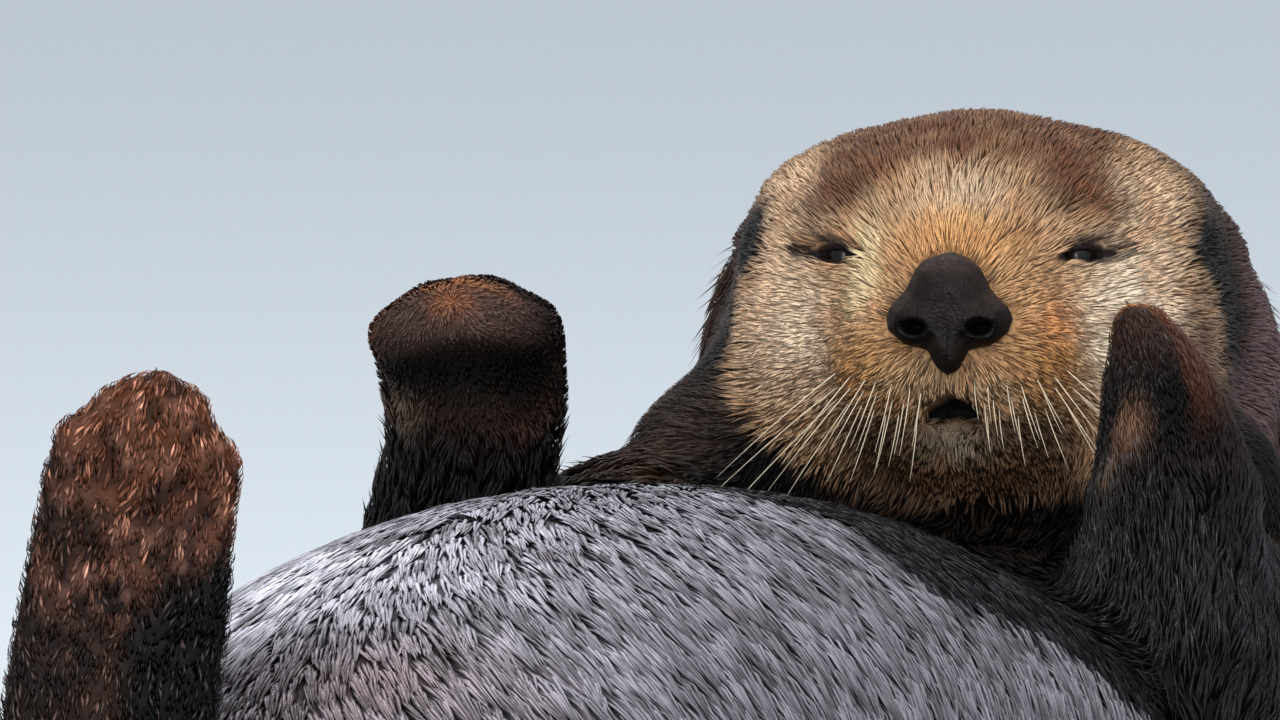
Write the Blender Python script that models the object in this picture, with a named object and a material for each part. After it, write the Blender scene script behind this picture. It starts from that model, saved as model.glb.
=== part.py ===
"""A life-size sea otter that floats on its back, as a still museum model.

Metres, +Z up. The otter lies belly up along Y, head towards +Y and tail towards -Y, and its own left
side is at +X. The origin is on the flat of its back, where the trunk rests on the floor.

Each fleshy shape is modelled in Clay: a grid of distances that balls, limbs and lofts are blended into,
turned into a mesh, thinned, and then parted at the joints with thin Boolean cuts.
"""

import math

import bmesh
import bpy
import numpy as np
import openvdb
from mathutils import Matrix, Vector

# ---------------------------------------------------------------- driving dimensions
MM = 0.001
GAP = 0.3 * MM                 # clearance that touching pieces keep
SEAT = 0.9 * MM                # clearance of a piece that is set into another
FAR = 1.0                      # distance given to a grid cell that no shape is near

BODY_STEP = 4 * MM             # grid spacing of the head, trunk and tail
LIMB_STEP = 3 * MM
EAR_STEP = 2 * MM
NOSE_STEP = 1 * MM

TRUNK_HALF_WIDTH = 0.168       # widest, at the belly
TRUNK_HALF_DEPTH = 0.131       # back to belly, halved

HEAD_CENTRE = Vector((0.001, 0.315, 0.272))
HEAD_YAW = math.radians(12)    # turned towards the otter's left
HEAD_PITCH = math.radians(8)   # nose above the horizontal
HEAD_ROLL = math.radians(-1)

EYE_RADIUS = 7.2 * MM
TOE_CLAW = (2.3 * MM, 10 * MM)     # radius at the root, length
FINGER_CLAW = (1.7 * MM, 8 * MM)
TOE_CLAW_SEAT = (0.68, 0.35)       # share of the length within the toe, and towards its upper side
FINGER_CLAW_SEAT = (0.55, 0.0)

TRIANGLES = {                  # what each clay is thinned to
    "core": 1950,
    "forelimb": 300,
    "hindlimb": 440,
    "ear": 90,
    "nose": 200,
}

FUR_COLOURS = {
    "cream": (0.42, 0.31, 0.21),
    "brown": (0.075, 0.045, 0.030),
    "dark": (0.030, 0.024, 0.024),
    "grey": (0.17, 0.16, 0.18),
    "foot": (0.085, 0.045, 0.030),
    "black": (0.012, 0.010, 0.011),
    "claw": (0.060, 0.045, 0.038),
}


# ---------------------------------------------------------------- frames
class Frame:
    """A place with three axes: across, along and out. Points given in it are in metres."""

    def __init__(self, origin, along, out):
        self.origin = Vector(origin)
        along = Vector(along).normalized()
        across = along.cross(Vector(out)).normalized()
        self.axes = Matrix((across, along, across.cross(along))).transposed()

    def point(self, across, along, out):
        return self.origin + self.axes @ Vector((across, along, out))

    def direction(self, across, along, out):
        return self.axes @ Vector((across, along, out))

    def array(self):
        return np.array(self.axes, np.float32)


def head_frame():
    turn = Matrix.Rotation(HEAD_YAW, 3, "Z") @ Matrix.Rotation(-HEAD_PITCH, 3, "X")
    turn = turn @ Matrix.Rotation(HEAD_ROLL, 3, "Y")
    forward = turn @ Vector((0, -1, 0))
    up = turn @ Vector((0, 0, 1))
    return Frame(HEAD_CENTRE, forward, up)


WORLD = Frame((0, 0, 0), (0, 1, 0), (0, 0, 1))
HEAD = head_frame()


def mirrored(sign, across, along, out):
    """A head point in millimetres, on the otter's left for sign +1 and on its right for -1."""
    return HEAD.point(-sign * across * MM, along * MM, out * MM)


# ---------------------------------------------------------------- shapes that clay is made of
def ellipsoid_distance(rel, radii):
    """Near-surface distance to an ellipsoid at the origin; radii may vary from point to point."""
    scaled = rel / radii
    near = np.linalg.norm(scaled, axis=-1)
    steep = np.linalg.norm(scaled / radii, axis=-1)
    return near * (near - 1.0) / np.maximum(steep, 1e-6)


class Ball:
    """An ellipsoid, its radii along a frame's across, along and out axes."""

    def __init__(self, centre, radii, frame=WORLD):
        self.centre = np.array(centre, np.float32)
        self.radii = np.array(radii, np.float32)
        self.axes = frame.array()

    def box(self):
        reach = np.abs(self.axes) @ self.radii
        return self.centre - reach, self.centre + reach

    def distance(self, points):
        return ellipsoid_distance((points - self.centre) @ self.axes, self.radii)


class Limb:
    """A round-ended limb from one station to the next. A station is (centre, half width, half depth)."""

    def __init__(self, start, end, out=(0, 0, 1)):
        (self.a, wide_a, deep_a), (self.b, wide_b, deep_b) = start, end
        self.a, self.b = np.array(self.a, np.float32), np.array(self.b, np.float32)
        self.axes = Frame(self.a.tolist(), (self.b - self.a).tolist(), out).array()
        self.ends = np.array(((wide_a, deep_a), (wide_b, deep_b)), np.float32)

    def box(self):
        reach = self.ends.max()
        return np.minimum(self.a, self.b) - reach, np.maximum(self.a, self.b) + reach

    def distance(self, points):
        span = self.b - self.a
        t = np.clip((points - self.a) @ span / (span @ span), 0, 1)[..., None]
        rel = (points - (self.a + t * span)) @ self.axes
        wide = self.ends[0, 0] + t * (self.ends[1, 0] - self.ends[0, 0])
        deep = self.ends[0, 1] + t * (self.ends[1, 1] - self.ends[0, 1])
        radii = np.concatenate((wide, deep, deep), axis=-1)
        return ellipsoid_distance(rel, radii)


def smooth_stations(stations, between):
    """More stations on a smooth curve through the given ones (Catmull-Rom)."""
    rows = [np.array((*centre, wide, deep), float) for centre, wide, deep in stations]
    rows = [2 * rows[0] - rows[1], *rows, 2 * rows[-1] - rows[-2]]
    found = []
    for i in range(1, len(rows) - 2):
        p0, p1, p2, p3 = rows[i - 1:i + 3]
        for t in np.linspace(0, 1, between, endpoint=False):
            bend = 2 * p0 - 5 * p1 + 4 * p2 - p3
            twist = 3 * p1 - p0 - 3 * p2 + p3
            found.append(0.5 * (2 * p1 + (p2 - p0) * t + bend * t**2 + twist * t**3))
    found.append(rows[-2])
    return [(row[:3], row[3], row[4]) for row in found]


def loft(stations, out=(0, 0, 1), between=4):
    """Limbs that follow a smooth curve through the stations."""
    dense = smooth_stations(stations, between)
    return [Limb(a, b, out) for a, b in zip(dense, dense[1:])]


class Clay:
    """A block of distances in which shapes are blended together or carved away."""

    def __init__(self, low, high, step):
        self.low, self.step = np.array(low, np.float32), step
        self.size = np.ceil((np.array(high) - self.low) / step).astype(int) + 1
        self.value = np.full(self.size, FAR, np.float32)

    def window(self, shape, margin):
        """The slices of cells near a shape, and the points at them."""
        low, high = shape.box()
        first = np.floor((low - margin - self.low) / self.step).astype(int)
        last = np.ceil((high + margin - self.low) / self.step).astype(int) + 1
        first, last = np.maximum(first, 0), np.minimum(last, self.size)
        axes = [self.low[i] + self.step * np.arange(first[i], last[i]) for i in range(3)]
        points = np.stack(np.meshgrid(*axes, indexing="ij"), axis=-1).astype(np.float32)
        return tuple(slice(a, b) for a, b in zip(first, last)), points

    def add(self, shapes, blend):
        """Joins shapes on, with fillets about blend wide."""
        for shape in shapes if isinstance(shapes, (list, tuple)) else [shapes]:
            window, points = self.window(shape, blend + 3 * self.step)
            new, old = shape.distance(points), self.value[window]
            overlap = np.maximum(blend - np.abs(new - old), 0) / blend
            self.value[window] = np.minimum(new, old) - overlap**2 * blend / 4
        return self

    def carve(self, shapes, blend):
        """Cuts shapes away, with edges about blend wide."""
        for shape in shapes if isinstance(shapes, (list, tuple)) else [shapes]:
            window, points = self.window(shape, blend + 3 * self.step)
            new, old = -shape.distance(points), self.value[window]
            overlap = np.maximum(blend - np.abs(new - old), 0) / blend
            self.value[window] = np.maximum(new, old) + overlap**2 * blend / 4
        return self

    def join(self, other, blend):
        """Joins on a clay of the same size."""
        overlap = np.maximum(blend - np.abs(other.value - self.value), 0) / blend
        self.value = np.minimum(other.value, self.value) - overlap**2 * blend / 4

    def mesh(self, name, triangles):
        """The clay's surface as an object, thinned to about that many triangles."""
        grid = openvdb.FloatGrid(FAR)
        grid.copyFromArray(self.value)
        points, quads = grid.convertToQuads(isovalue=0.0)
        mesh = bpy.data.meshes.new(name)
        places = points * self.step + self.low
        mesh.from_pydata(places.tolist(), [], quads[:, ::-1].tolist())
        made = new_object(name, mesh)
        outwards(made)
        thin = made.modifiers.new("thin", "DECIMATE")
        thin.ratio = min(1.0, triangles / (2 * len(quads)))
        return applied(made)


# ---------------------------------------------------------------- Blender helpers
def new_object(name, mesh):
    made = bpy.data.objects.new(name, mesh)
    bpy.context.scene.collection.objects.link(made)
    return made


def outwards(obj):
    """Turns a closed mesh's faces out, and keeps only its largest shell."""
    shape = bmesh.new()
    shape.from_mesh(obj.data)
    bmesh.ops.remove_doubles(shape, verts=shape.verts, dist=1e-6)
    unseen, shells = set(shape.verts), []
    while unseen:
        shell, edge = set(), [unseen.pop()]
        while edge:
            vert = edge.pop()
            shell.add(vert)
            fresh = {e.other_vert(vert) for e in vert.link_edges} & unseen
            unseen -= fresh
            edge.extend(fresh)
        shells.append(shell)
    keep = max(shells, key=len)
    bmesh.ops.delete(shape, geom=[v for v in shape.verts if v not in keep], context="VERTS")
    bmesh.ops.recalc_face_normals(shape, faces=shape.faces)
    shape.to_mesh(obj.data)
    shape.free()


def applied(obj):
    """The object with its modifiers applied."""
    bpy.context.view_layer.update()
    graph = bpy.context.evaluated_depsgraph_get()
    mesh = bpy.data.meshes.new_from_object(obj.evaluated_get(graph))
    obj.modifiers.clear()
    obj.data = mesh
    return obj


def cut(obj, cutter, operation, name=None):
    """A copy of obj after a Boolean with the cutter."""
    made = new_object(name or obj.name, obj.data.copy())
    boolean = made.modifiers.new("cut", "BOOLEAN")
    boolean.operation, boolean.object, boolean.solver = operation, cutter, "EXACT"
    applied(made)
    return made


def remove(*objects):
    for obj in objects:
        bpy.data.objects.remove(obj)


def box_cutter(frame, low, high):
    """A closed box between two corners of a frame."""
    shape = bmesh.new()
    bmesh.ops.create_cube(shape, size=1)
    for vert in shape.verts:
        share = [c + 0.5 for c in vert.co]
        vert.co = frame.point(*(lo + s * (hi - lo) for s, lo, hi in zip(share, low, high)))
    shape.normal_update()
    bmesh.ops.recalc_face_normals(shape, faces=shape.faces)
    mesh = bpy.data.meshes.new("cutter")
    shape.to_mesh(mesh)
    shape.free()
    return new_object("cutter", mesh)


def ball_cutter(centre, radii, frame=WORLD, segments=28):
    shape = bmesh.new()
    bmesh.ops.create_uvsphere(shape, u_segments=segments, v_segments=segments // 2, radius=1)
    for vert in shape.verts:
        vert.co = Vector(centre) + frame.axes @ Vector(c * r for c, r in zip(vert.co, radii))
    shape.normal_update()
    bmesh.ops.recalc_face_normals(shape, faces=shape.faces)
    mesh = bpy.data.meshes.new("cutter")
    shape.to_mesh(mesh)
    shape.free()
    return new_object("cutter", mesh)


def split(whole, name, frame, low, high):
    """Parts whole in two, GAP apart: the named piece inside a box of the frame, and the rest."""
    inside = box_cutter(frame, low, high)
    wider = box_cutter(frame, [v - GAP for v in low], [v + GAP for v in high])
    piece = cut(whole, inside, "INTERSECT", name)
    rest = cut(whole, wider, "DIFFERENCE", "rest")
    remove(inside, wider, whole)
    return piece, rest


def split_beyond(whole, name, point, normal):
    """Parts off what lies on a plane's far side."""
    out = (0, 0, 1) if abs(Vector(normal).normalized().z) < 0.9 else (1, 0, 0)
    return split(whole, name, Frame(point, normal, out), (-1, 0, -1), (1, 1, 1))


def split_at_joint(limb, name, before, joint, after):
    """Parts off the length after a joint, on the plane that halves the bend there."""
    normal = (Vector(after) - joint).normalized() - (Vector(before) - joint).normalized()
    return split_beyond(limb, name, joint, normal)


def without(obj, neighbour, clearance=SEAT):
    """The object with a seat cut for a neighbour that presses into it."""
    cutter = new_object("cutter", neighbour.data.copy())
    normals = [vert.normal.copy() for vert in cutter.data.vertices]
    for vert, normal in zip(cutter.data.vertices, normals):
        vert.co += normal * clearance
    made = cut(obj, cutter, "DIFFERENCE")
    remove(cutter, obj)
    return made


def on_floor(obj):
    """Cuts off what is below the floor, which leaves the small flats that the otter rests on."""
    below = box_cutter(WORLD, (-1, -1, -1), (1, 1, 0))
    made = cut(obj, below, "DIFFERENCE")
    remove(obj, below)
    return made


def finished(obj, name, material):
    obj.name = obj.data.name = name
    obj.data.materials.clear()
    obj.data.materials.append(material)
    obj.data.shade_smooth()
    obj.data.set_sharp_from_angle(angle=math.radians(50))
    return obj


def material(name, colour, roughness):
    made = bpy.data.materials.new(name)
    made.use_nodes = True
    surface = made.node_tree.nodes["Principled BSDF"]
    surface.inputs["Base Color"].default_value = (*colour, 1)
    surface.inputs["Roughness"].default_value = roughness
    surface.inputs["Metallic"].default_value = 0.0
    return made


# ---------------------------------------------------------------- landmarks of the body
SPINE = (                                      # centre, half width, half depth
    ((0.000, -0.395, 0.064), 0.062, 0.052),    # rump
    ((-0.002, -0.315, 0.101), 0.120, 0.101),   # hips
    ((-0.004, -0.215, 0.117), 0.152, 0.121),   # loin
    ((-0.006, -0.090, 0.126), TRUNK_HALF_WIDTH, TRUNK_HALF_DEPTH),
    ((-0.004, 0.040, 0.120), 0.163, 0.125),    # ribs
    ((-0.002, 0.150, 0.106), 0.150, 0.108),    # chest
    ((-0.002, 0.245, 0.104), 0.132, 0.094),    # shoulders
    ((-0.008, 0.325, 0.132), 0.115, 0.088),    # neck base
    ((-0.014, 0.372, 0.188), 0.108, 0.078),    # neck
    ((-0.012, 0.372, 0.234), 0.104, 0.072),    # nape
)
RUFF = ((-0.012, 0.366, 0.250), (0.107, 0.052, 0.075))   # centre and radii of the fur behind the ears
CAPE = ((0.085, 0.290, 0.200), (0.038, 0.050, 0.050))    # loose skin from the neck to each shoulder
TAIL = (
    ((0.000, -0.385, 0.058), 0.052, 0.046),
    ((0.004, -0.460, 0.036), 0.043, 0.032),
    ((0.012, -0.545, 0.022), 0.040, 0.024),
    ((0.024, -0.625, 0.0165), 0.034, 0.018),
    ((0.036, -0.680, 0.010), 0.017, 0.011),
)
SIDES = {"left": 1, "right": -1}
SHOULDER = {"left": Vector((0.100, 0.245, 0.158)), "right": Vector((-0.100, 0.250, 0.172))}
ELBOW = {"left": Vector((0.116, 0.165, 0.165)), "right": Vector((-0.148, 0.172, 0.155))}
WRIST = {"left": Vector((0.107, 0.215, 0.222)), "right": Vector((-0.129, 0.166, 0.246))}
HIP = {"left": Vector((0.085, -0.300, 0.100)), "right": Vector((-0.085, -0.300, 0.105))}
KNEE = {"left": Vector((0.128, -0.380, 0.080)), "right": Vector((-0.118, -0.368, 0.132))}
ANKLE = {"left": Vector((0.160, -0.470, 0.031)), "right": Vector((-0.036, -0.452, 0.162))}

SHOULDER_RADIUS, ELBOW_RADIUS, WRIST_RADIUS = 0.056, 0.041, 0.030
HIP_RADIUS, KNEE_RADIUS, ANKLE_RADIUS = 0.062, 0.050, 0.033

FOREPAW = {  # along the paw, and out of its palm
    "left": Frame(WRIST["left"], (-0.24, 0.22, 0.94), (-0.70, -0.68, -0.05)),
    "right": Frame(WRIST["right"], (0.04, -0.42, 0.90), (0.25, -0.87, -0.42)),
}
HINDPAW = {  # along the foot, and out of its sole
    "left": Frame(ANKLE["left"], (0.20, -0.97, -0.08), (0.25, 0.05, -1.0)),
    "right": Frame(ANKLE["right"], (0.11, 0.10, 0.98), (0.36, -0.93, 0.0)),
}
DIGITS = {  # curl, radius at the knuckle, radius at the tip
    "left": (math.radians(12), 11.5 * MM, 8.5 * MM),
    "right": (math.radians(52), 13 * MM, 12 * MM),
}
FINGER_LENGTHS = (14 * MM, 19 * MM, 22 * MM, 19 * MM, 14 * MM)
FINGER_PITCH = 10.5 * MM
KNUCKLE_RISE = 43 * MM                         # from the wrist to the middle knuckle
TOE_ENDS = {  # from the ankle, inner toe first; the right foot is folded like a fan
    "left": [end * MM for end in (149, 166, 179, 187, 184)],
    "right": [end * MM for end in (165, 179, 184, 178, 166)],
}
TOE_PITCH = {"left": 19.6 * MM, "right": 12 * MM}   # between neighbouring tips
TOE_LIFT = {"left": 0.0, "right": 6 * MM}      # how far the toes curl towards the sole
INSTEP = 84 * MM                               # from the ankle to the knuckles of the toes
INSTEP_PITCH = 13 * MM
TOE_RADII = (10.5 * MM, 8.5 * MM)              # at the knuckle and at the tip
WEB_RADII = (9 * MM, 6 * MM), (10 * MM, 4.2 * MM)   # half width and half depth, at its root and edge
SOLE_RADII = (32 * MM, 30 * MM), (37 * MM, 14 * MM)
PALM_RADII = (33 * MM, 32 * MM, 20 * MM)
LIMB_ROOM = 75 * MM                            # clay kept round a limb's joints

NECK_PLANE = ((0, 0.300, 0.130), (0, 0.85, 0.53))
TRUNK_CUTS = (("chest", 0.100), ("belly", -0.235), ("hips", -0.405), ("tail_root", -0.545))


# ---------------------------------------------------------------- head
def head_ball(across, along, out, radii):
    """A ball in the head's own frame, in millimetres: across, along to the nose, out of the crown."""
    return Ball(HEAD.point(across * MM, along * MM, out * MM), [r * MM for r in radii], HEAD)


def both_sides(across, along, out, radii):
    return [head_ball(sign * across, along, out, radii) for sign in SIDES.values()]


def skull_shapes():
    cranium = head_ball(0, -8, 8, (80, 74, 59))
    forehead = head_ball(0, 18, 26, (50, 50, 38))
    temples = both_sides(48, -8, 29, (32, 45, 26))
    cheeks = both_sides(44, 6, -14, (42, 50, 46))
    brows = both_sides(36, 30, 22, (26, 26, 22))
    return [cranium, forehead, *temples, *cheeks, *brows]


def muzzle_shapes():
    snout = head_ball(0, 54, -8, (38, 38, 30))
    bridge = head_ball(0, 40, 14, (26, 40, 20))
    chin = head_ball(0, 42, -40, (34, 34, 25))
    whisker_pads = both_sides(19, 66, -20, (25, 23, 20))
    return [snout, bridge, chin, *whisker_pads]


EYE_PLACE = (40, 51.5, 16.5)          # across, along, out, in millimetres
EYE_GAZE = (0.48, 0.86, 0.16)       # which way each eye looks
EYE_SLIT = (6.0, 10, 2.6)           # radii of the opening between the lids


def eye_frame(sign):
    across, along, out = EYE_PLACE
    gaze_across, gaze_along, gaze_out = EYE_GAZE
    centre = mirrored(sign, across, along, out)
    gaze = HEAD.direction(-sign * gaze_across, gaze_along, gaze_out)
    return Frame(centre, gaze, HEAD.direction(0, 0, 1))


def make_eye(side):
    return ball_cutter(eye_frame(SIDES[side]).origin, (EYE_RADIUS,) * 3, HEAD, 10)


def with_eye_socket(head, side):
    """The head with a round socket that opens through the slit between the lids."""
    eye = eye_frame(SIDES[side])
    slit_centre = eye.point(0, 7 * MM, 0)
    for cutter in (
        ball_cutter(eye.origin, (EYE_RADIUS + SEAT,) * 3, HEAD, 10),
        ball_cutter(slit_centre, [r * MM for r in EYE_SLIT], eye, 10),
    ):
        opened = cut(head, cutter, "DIFFERENCE")
        remove(head, cutter)
        head = opened
    return head


def make_nose():
    """The bare nose pad: a spade shape with two nostrils."""
    tip = [head_ball(0, 87, 5.5, (13.5, 11, 13))]
    wings = both_sides(11.8, 86, -5, (10.8, 11, 9.3))
    stem = [head_ball(0, 87, -13.5, (6.8, 9, 10))]
    nostrils = both_sides(14.5, 95, -7, (3.6, 7, 2.6))
    centre = np.array(HEAD.point(0, 87 * MM, -3 * MM))
    clay = Clay(centre - 34 * MM, centre + 34 * MM, NOSE_STEP)
    clay.add(tip + wings + stem, 7 * MM).carve(nostrils, 2 * MM)
    return clay.mesh("nose", TRIANGLES["nose"])


def make_ear(side):
    """A small cupped ear, low on the side of the head."""
    sign = SIDES[side]
    root = mirrored(sign, 76, -16, 20)
    tip = HEAD.direction(-sign * 0.62, -0.60, 0.02)
    face = HEAD.direction(-sign * 0.62, 0.72, 0.10)
    ear = Frame(root, tip, face)
    clay = Clay(np.array(root) - 40 * MM, np.array(root) + 40 * MM, EAR_STEP)
    clay.add(Ball(ear.point(0, 5 * MM, 0), [r * MM for r in (15, 17, 7.5)], ear), 1 * MM)
    hollow = Ball(ear.point(0, 8 * MM, 7 * MM), [r * MM for r in (9, 10, 6.5)], ear)
    clay.carve(hollow, 3 * MM)
    return clay.mesh("ear_" + side, TRIANGLES["ear"])


# ---------------------------------------------------------------- head, neck, trunk and tail
def make_core():
    """Head, neck, trunk and tail as one blended body."""
    low, high = (-0.19, -0.72, -0.03), (0.19, 0.46, 0.37)
    clay = Clay(low, high, BODY_STEP)
    clay.add(loft(SPINE), 6 * MM)
    clay.add(loft(TAIL), 20 * MM)
    clay.add(Ball(*RUFF), 20 * MM)
    for sign in SIDES.values():
        (across, along, out), radii = CAPE
        clay.add(Ball((sign * across, along, out), radii), 26 * MM)
    skull = Clay(low, high, BODY_STEP)
    skull.add(skull_shapes(), 22 * MM)
    skull.add(muzzle_shapes(), 14 * MM)
    clay.join(skull, 20 * MM)
    return clay.mesh("core", TRIANGLES["core"])


def head_box(low, high):
    return [v * MM for v in low], [v * MM for v in high]


def part_head(core):
    """Parts off the head behind the ears and under the jaw, and the jaw below the lips."""
    head, rest = split(core, "head", HEAD, *head_box((-150, -45, -66), (150, 110, 150)))
    jaw, head = split(head, "jaw", HEAD, *head_box((-42, 22, -90), (42, 110, -38)))
    mouth = ball_cutter(HEAD.point(0, 82 * MM, -38 * MM), [r * MM for r in (10, 13, 5.5)], HEAD, 12)
    open_jaw, open_head = cut(jaw, mouth, "DIFFERENCE"), cut(head, mouth, "DIFFERENCE")
    remove(jaw, head, mouth)
    return open_head, open_jaw, rest


# ---------------------------------------------------------------- forelimbs
def finger_points(side):
    """(knuckle, tip) of five short mitten fingers. The outer ones are shorter, and all curl to the palm."""
    paw, curl = FOREPAW[side], DIGITS[side][0]
    found = []
    for i, length in enumerate(FINGER_LENGTHS):
        step = i - 2
        knuckle = paw.point(step * FINGER_PITCH, KNUCKLE_RISE - 2.2 * MM * step**2, 0)
        reach = paw.direction(0.063 * step, math.cos(curl), math.sin(curl)) * length
        found.append((knuckle, knuckle + reach))
    return found


def make_forelimb(side):
    """Upper arm, forearm and paw as one clay."""
    paw = FOREPAW[side]
    curl, knuckle_radius, tip_radius = DIGITS[side]
    ends = np.array([SHOULDER[side], ELBOW[side], WRIST[side], paw.point(0, 75 * MM, 0)])
    clay = Clay(ends.min(axis=0) - LIMB_ROOM, ends.max(axis=0) + LIMB_ROOM, LIMB_STEP)
    shoulder = (SHOULDER[side], SHOULDER_RADIUS, SHOULDER_RADIUS)
    elbow = (ELBOW[side], ELBOW_RADIUS, ELBOW_RADIUS)
    clay.add(Limb(shoulder, elbow), 10 * MM)
    clay.add(Limb(elbow, (WRIST[side], WRIST_RADIUS, WRIST_RADIUS)), 16 * MM)
    clay.add(Ball(paw.point(0, 26 * MM, 0), PALM_RADII, paw), 14 * MM)
    for knuckle, tip in finger_points(side):
        clay.add(Limb((knuckle, knuckle_radius, knuckle_radius), (tip, tip_radius, tip_radius)), 5 * MM)
    return clay.mesh("forelimb_" + side, TRIANGLES["forelimb"])


# ---------------------------------------------------------------- hind limbs
def toe_points(side):
    """(knuckle, tip) of each toe, from the inner first to the outer fifth."""
    foot, inner = HINDPAW[side], -SIDES[side]
    found = []
    for i, length in enumerate(TOE_ENDS[side]):
        across = inner * (2 - i)
        knuckle = foot.point(across * INSTEP_PITCH, INSTEP, -2 * MM)
        tip = foot.point(across * TOE_PITCH[side], length, TOE_LIFT[side])
        found.append((knuckle, tip))
    return found


def make_hindlimb(side):
    """Thigh, shank and webbed foot as one clay."""
    foot, toes = HINDPAW[side], toe_points(side)
    ends = np.array([HIP[side], KNEE[side], ANKLE[side], *(tip for _, tip in toes)])
    clay = Clay(ends.min(axis=0) - LIMB_ROOM, ends.max(axis=0) + LIMB_ROOM, LIMB_STEP)
    knee = (KNEE[side], KNEE_RADIUS, KNEE_RADIUS)
    clay.add(Limb((HIP[side], HIP_RADIUS, HIP_RADIUS), knee), 10 * MM)
    clay.add(Limb(knee, (ANKLE[side], ANKLE_RADIUS, ANKLE_RADIUS)), 20 * MM)
    heel_radii, ball_radii = SOLE_RADII
    sole = Limb((foot.origin, *heel_radii), (foot.point(0, INSTEP, 0), *ball_radii), foot.direction(0, 0, 1))
    clay.add(sole, 14 * MM)
    knuckle_radius, tip_radius = TOE_RADII
    for knuckle, tip in toes:
        clay.add(Limb((knuckle, knuckle_radius, knuckle_radius), (tip, tip_radius, tip_radius)), 4 * MM)
    for (knuckle_a, tip_a), (knuckle_b, tip_b) in zip(toes, toes[1:]):
        root = (knuckle_a + knuckle_b) / 2
        edge = (tip_a.lerp(knuckle_a, 0.12) + tip_b.lerp(knuckle_b, 0.12)) / 2
        web = Limb((root, *WEB_RADII[0]), (edge, *WEB_RADII[1]), foot.direction(0, 0, 1))
        clay.add(web, 3 * MM)
    return clay.mesh("hindlimb_" + side, TRIANGLES["hindlimb"])


# ---------------------------------------------------------------- claws
def make_claw(name, root, along, out, size, extra=0.0):
    """A short curved claw, its root sunk in the end of its toe, grown all round by extra."""
    radius, length = size
    claw = Frame(root, along, out)
    shape = bmesh.new()
    rings, sides = 2, 6
    loops = []
    for i in range(rings):
        share = i / rings
        ring_radius = radius * (1 - share) ** 0.6 + extra
        centre = claw.point(0, share * length - (extra if i == 0 else 0), 0.2 * length * share**2)
        loop = []
        for j in range(sides):
            angle = 2 * math.pi * j / sides
            rim = claw.direction(math.cos(angle) * 0.8, 0, math.sin(angle)) * ring_radius
            loop.append(shape.verts.new(centre + rim))
        loops.append(loop)
    tip = shape.verts.new(claw.point(0, length + extra, 0.2 * length))
    shape.faces.new(loops[0])
    for a, b in zip(loops, loops[1:]):
        for j in range(sides):
            k = (j + 1) % sides
            shape.faces.new((a[j], a[k], b[k], b[j]))
    for j in range(sides):
        shape.faces.new((loops[-1][j], loops[-1][(j + 1) % sides], tip))
    bmesh.ops.recalc_face_normals(shape, faces=shape.faces)
    mesh = bpy.data.meshes.new(name)
    shape.to_mesh(mesh)
    shape.free()
    return new_object(name, mesh)


def with_claws(paw, prefix, digits, out, size, placing, tip_radius):
    """The paw with a seat for each claw, and the claws."""
    within, upwards = placing
    claws = []
    for i, (knuckle, tip) in enumerate(digits):
        along = (tip - knuckle).normalized()
        root = tip + along * (tip_radius - size[1] * within) - out * (tip_radius * upwards)
        name = f"{prefix}_{i + 1}"
        claw = make_claw(name, root, along, out, size)
        seat = make_claw("cutter", root, along, out, size, extra=SEAT)
        seated = cut(paw, seat, "DIFFERENCE")
        remove(paw, seat)
        paw = seated
        claws.append(claw)
    return paw, claws


# ---------------------------------------------------------------- assembly
def part_forelimb(limb, side):
    paw = FOREPAW[side]
    lower, upper = split_at_joint(limb, "forearm", SHOULDER[side], ELBOW[side], WRIST[side])
    hand, forearm = split_at_joint(lower, "forepaw", ELBOW[side], WRIST[side], paw.point(0, 50 * MM, 0))
    palm, tip_radius = paw.direction(0, 0, 1), DIGITS[side][2]
    placing = (palm, FINGER_CLAW, FINGER_CLAW_SEAT, tip_radius)
    hand, claws = with_claws(hand, "finger_claw_" + side, finger_points(side), *placing)
    return {"upper_arm_" + side: upper, "forearm_" + side: forearm, "forepaw_" + side: hand}, claws


def part_hindlimb(limb, side):
    foot = HINDPAW[side]
    lower, upper = split_at_joint(limb, "shank", HIP[side], KNEE[side], ANKLE[side])
    paw, shank = split_at_joint(lower, "foot", KNEE[side], ANKLE[side], foot.point(0, INSTEP, 0))
    sole = foot.direction(0, 0, 1)
    placing = (sole, TOE_CLAW, TOE_CLAW_SEAT, TOE_RADII[1])
    paw, claws = with_claws(paw, "toe_claw_" + side, toe_points(side), *placing)
    return {"thigh_" + side: upper, "shank_" + side: shank, "hind_foot_" + side: paw}, claws


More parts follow.
